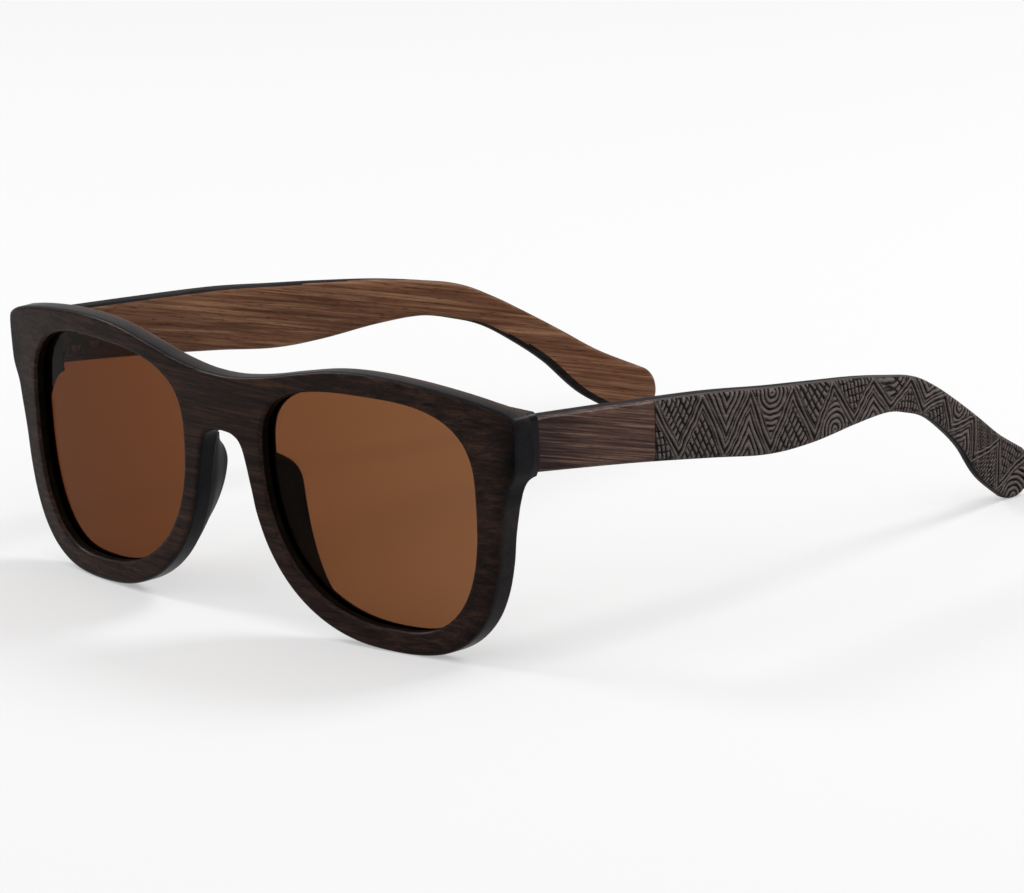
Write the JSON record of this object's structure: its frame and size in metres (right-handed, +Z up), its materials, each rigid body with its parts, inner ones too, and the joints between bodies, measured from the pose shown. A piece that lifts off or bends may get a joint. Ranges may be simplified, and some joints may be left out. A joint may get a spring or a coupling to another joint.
{
  "type": "sunglasses",
  "caption": "Wooden sunglasses with brown lenses set in grooves, glued nose pads and endpiece blocks, and carved wooden temples that fold and flex on spring hinges.",
  "frame": {"origin": "on the table under the middle of the open glasses, halfway from the front's face to the temple tips", "axes": "+Z up, -Y out of the front's face, +Y back along the temples, +X to the wearer's left"},
  "size_m": [0.1452, 0.1507, 0.051],
  "materials": {
    "front_wood": "dark stained wood, satin oil finish",
    "temple_wood": "brown stained wood, satin, carved behind the hinge",
    "lens": "clear brown, polished",
    "hinge_steel": "blackened, satin",
    "spring_steel": "bright wire",
    "screw_steel": "polished",
    "brass": "turned"
  },
  "bodies": {
    "front": {"front_frame": "front_wood", "lens_left": "lens", "lens_right": "lens", "nose_pad_left": "front_wood", "nose_pad_right": "front_wood", "endpiece_left": "front_wood", "endpiece_right": "front_wood", "front_hinge_left": "hinge_steel", "front_hinge_right": "hinge_steel", "front_hinge_screws": "screw_steel", "pivot_screw_left": "screw_steel", "pivot_screw_right": "screw_steel"},
    "left_slider": {"hinge_slider_left": "hinge_steel", "rod_nut_left": "brass"},
    "left_temple": {"temple_left": "temple_wood", "spring_box_left": "hinge_steel", "box_plug_left": "hinge_steel", "box_screws_left": "screw_steel", "hinge_spring_left": "spring_steel"},
    "right_slider": {"hinge_slider_right": "hinge_steel", "rod_nut_right": "brass"},
    "right_temple": {"temple_right": "temple_wood", "spring_box_right": "hinge_steel", "box_plug_right": "hinge_steel", "box_screws_right": "screw_steel", "hinge_spring_right": "spring_steel"}
  },
  "joints": [
    {"name": "left_fold", "type": "hinge", "parent": "front", "child": "left_slider", "pos_m": [0.0658, -0.05925, 0.0404], "axis": [0, 0, 1], "range_deg": [0, 84]},
    {"name": "left_flex", "type": "slide", "parent": "left_slider", "child": "left_temple", "axis": [0, 1, 0], "range_m": [0, 0.002], "stiffness_N_per_m": 1500, "springref_m": -0.001, "deforming": ["hinge_spring_left"]},
    {"name": "right_fold", "type": "hinge", "parent": "front", "child": "right_slider", "pos_m": [-0.0658, -0.05925, 0.0404], "axis": [0, 0, -1], "range_deg": [0, 74]},
    {"name": "right_flex", "type": "slide", "parent": "right_slider", "child": "right_temple", "axis": [0, 1, 0], "range_m": [0, 0.002], "stiffness_N_per_m": 1500, "springref_m": -0.001, "deforming": ["hinge_spring_right"]}
  ]
}
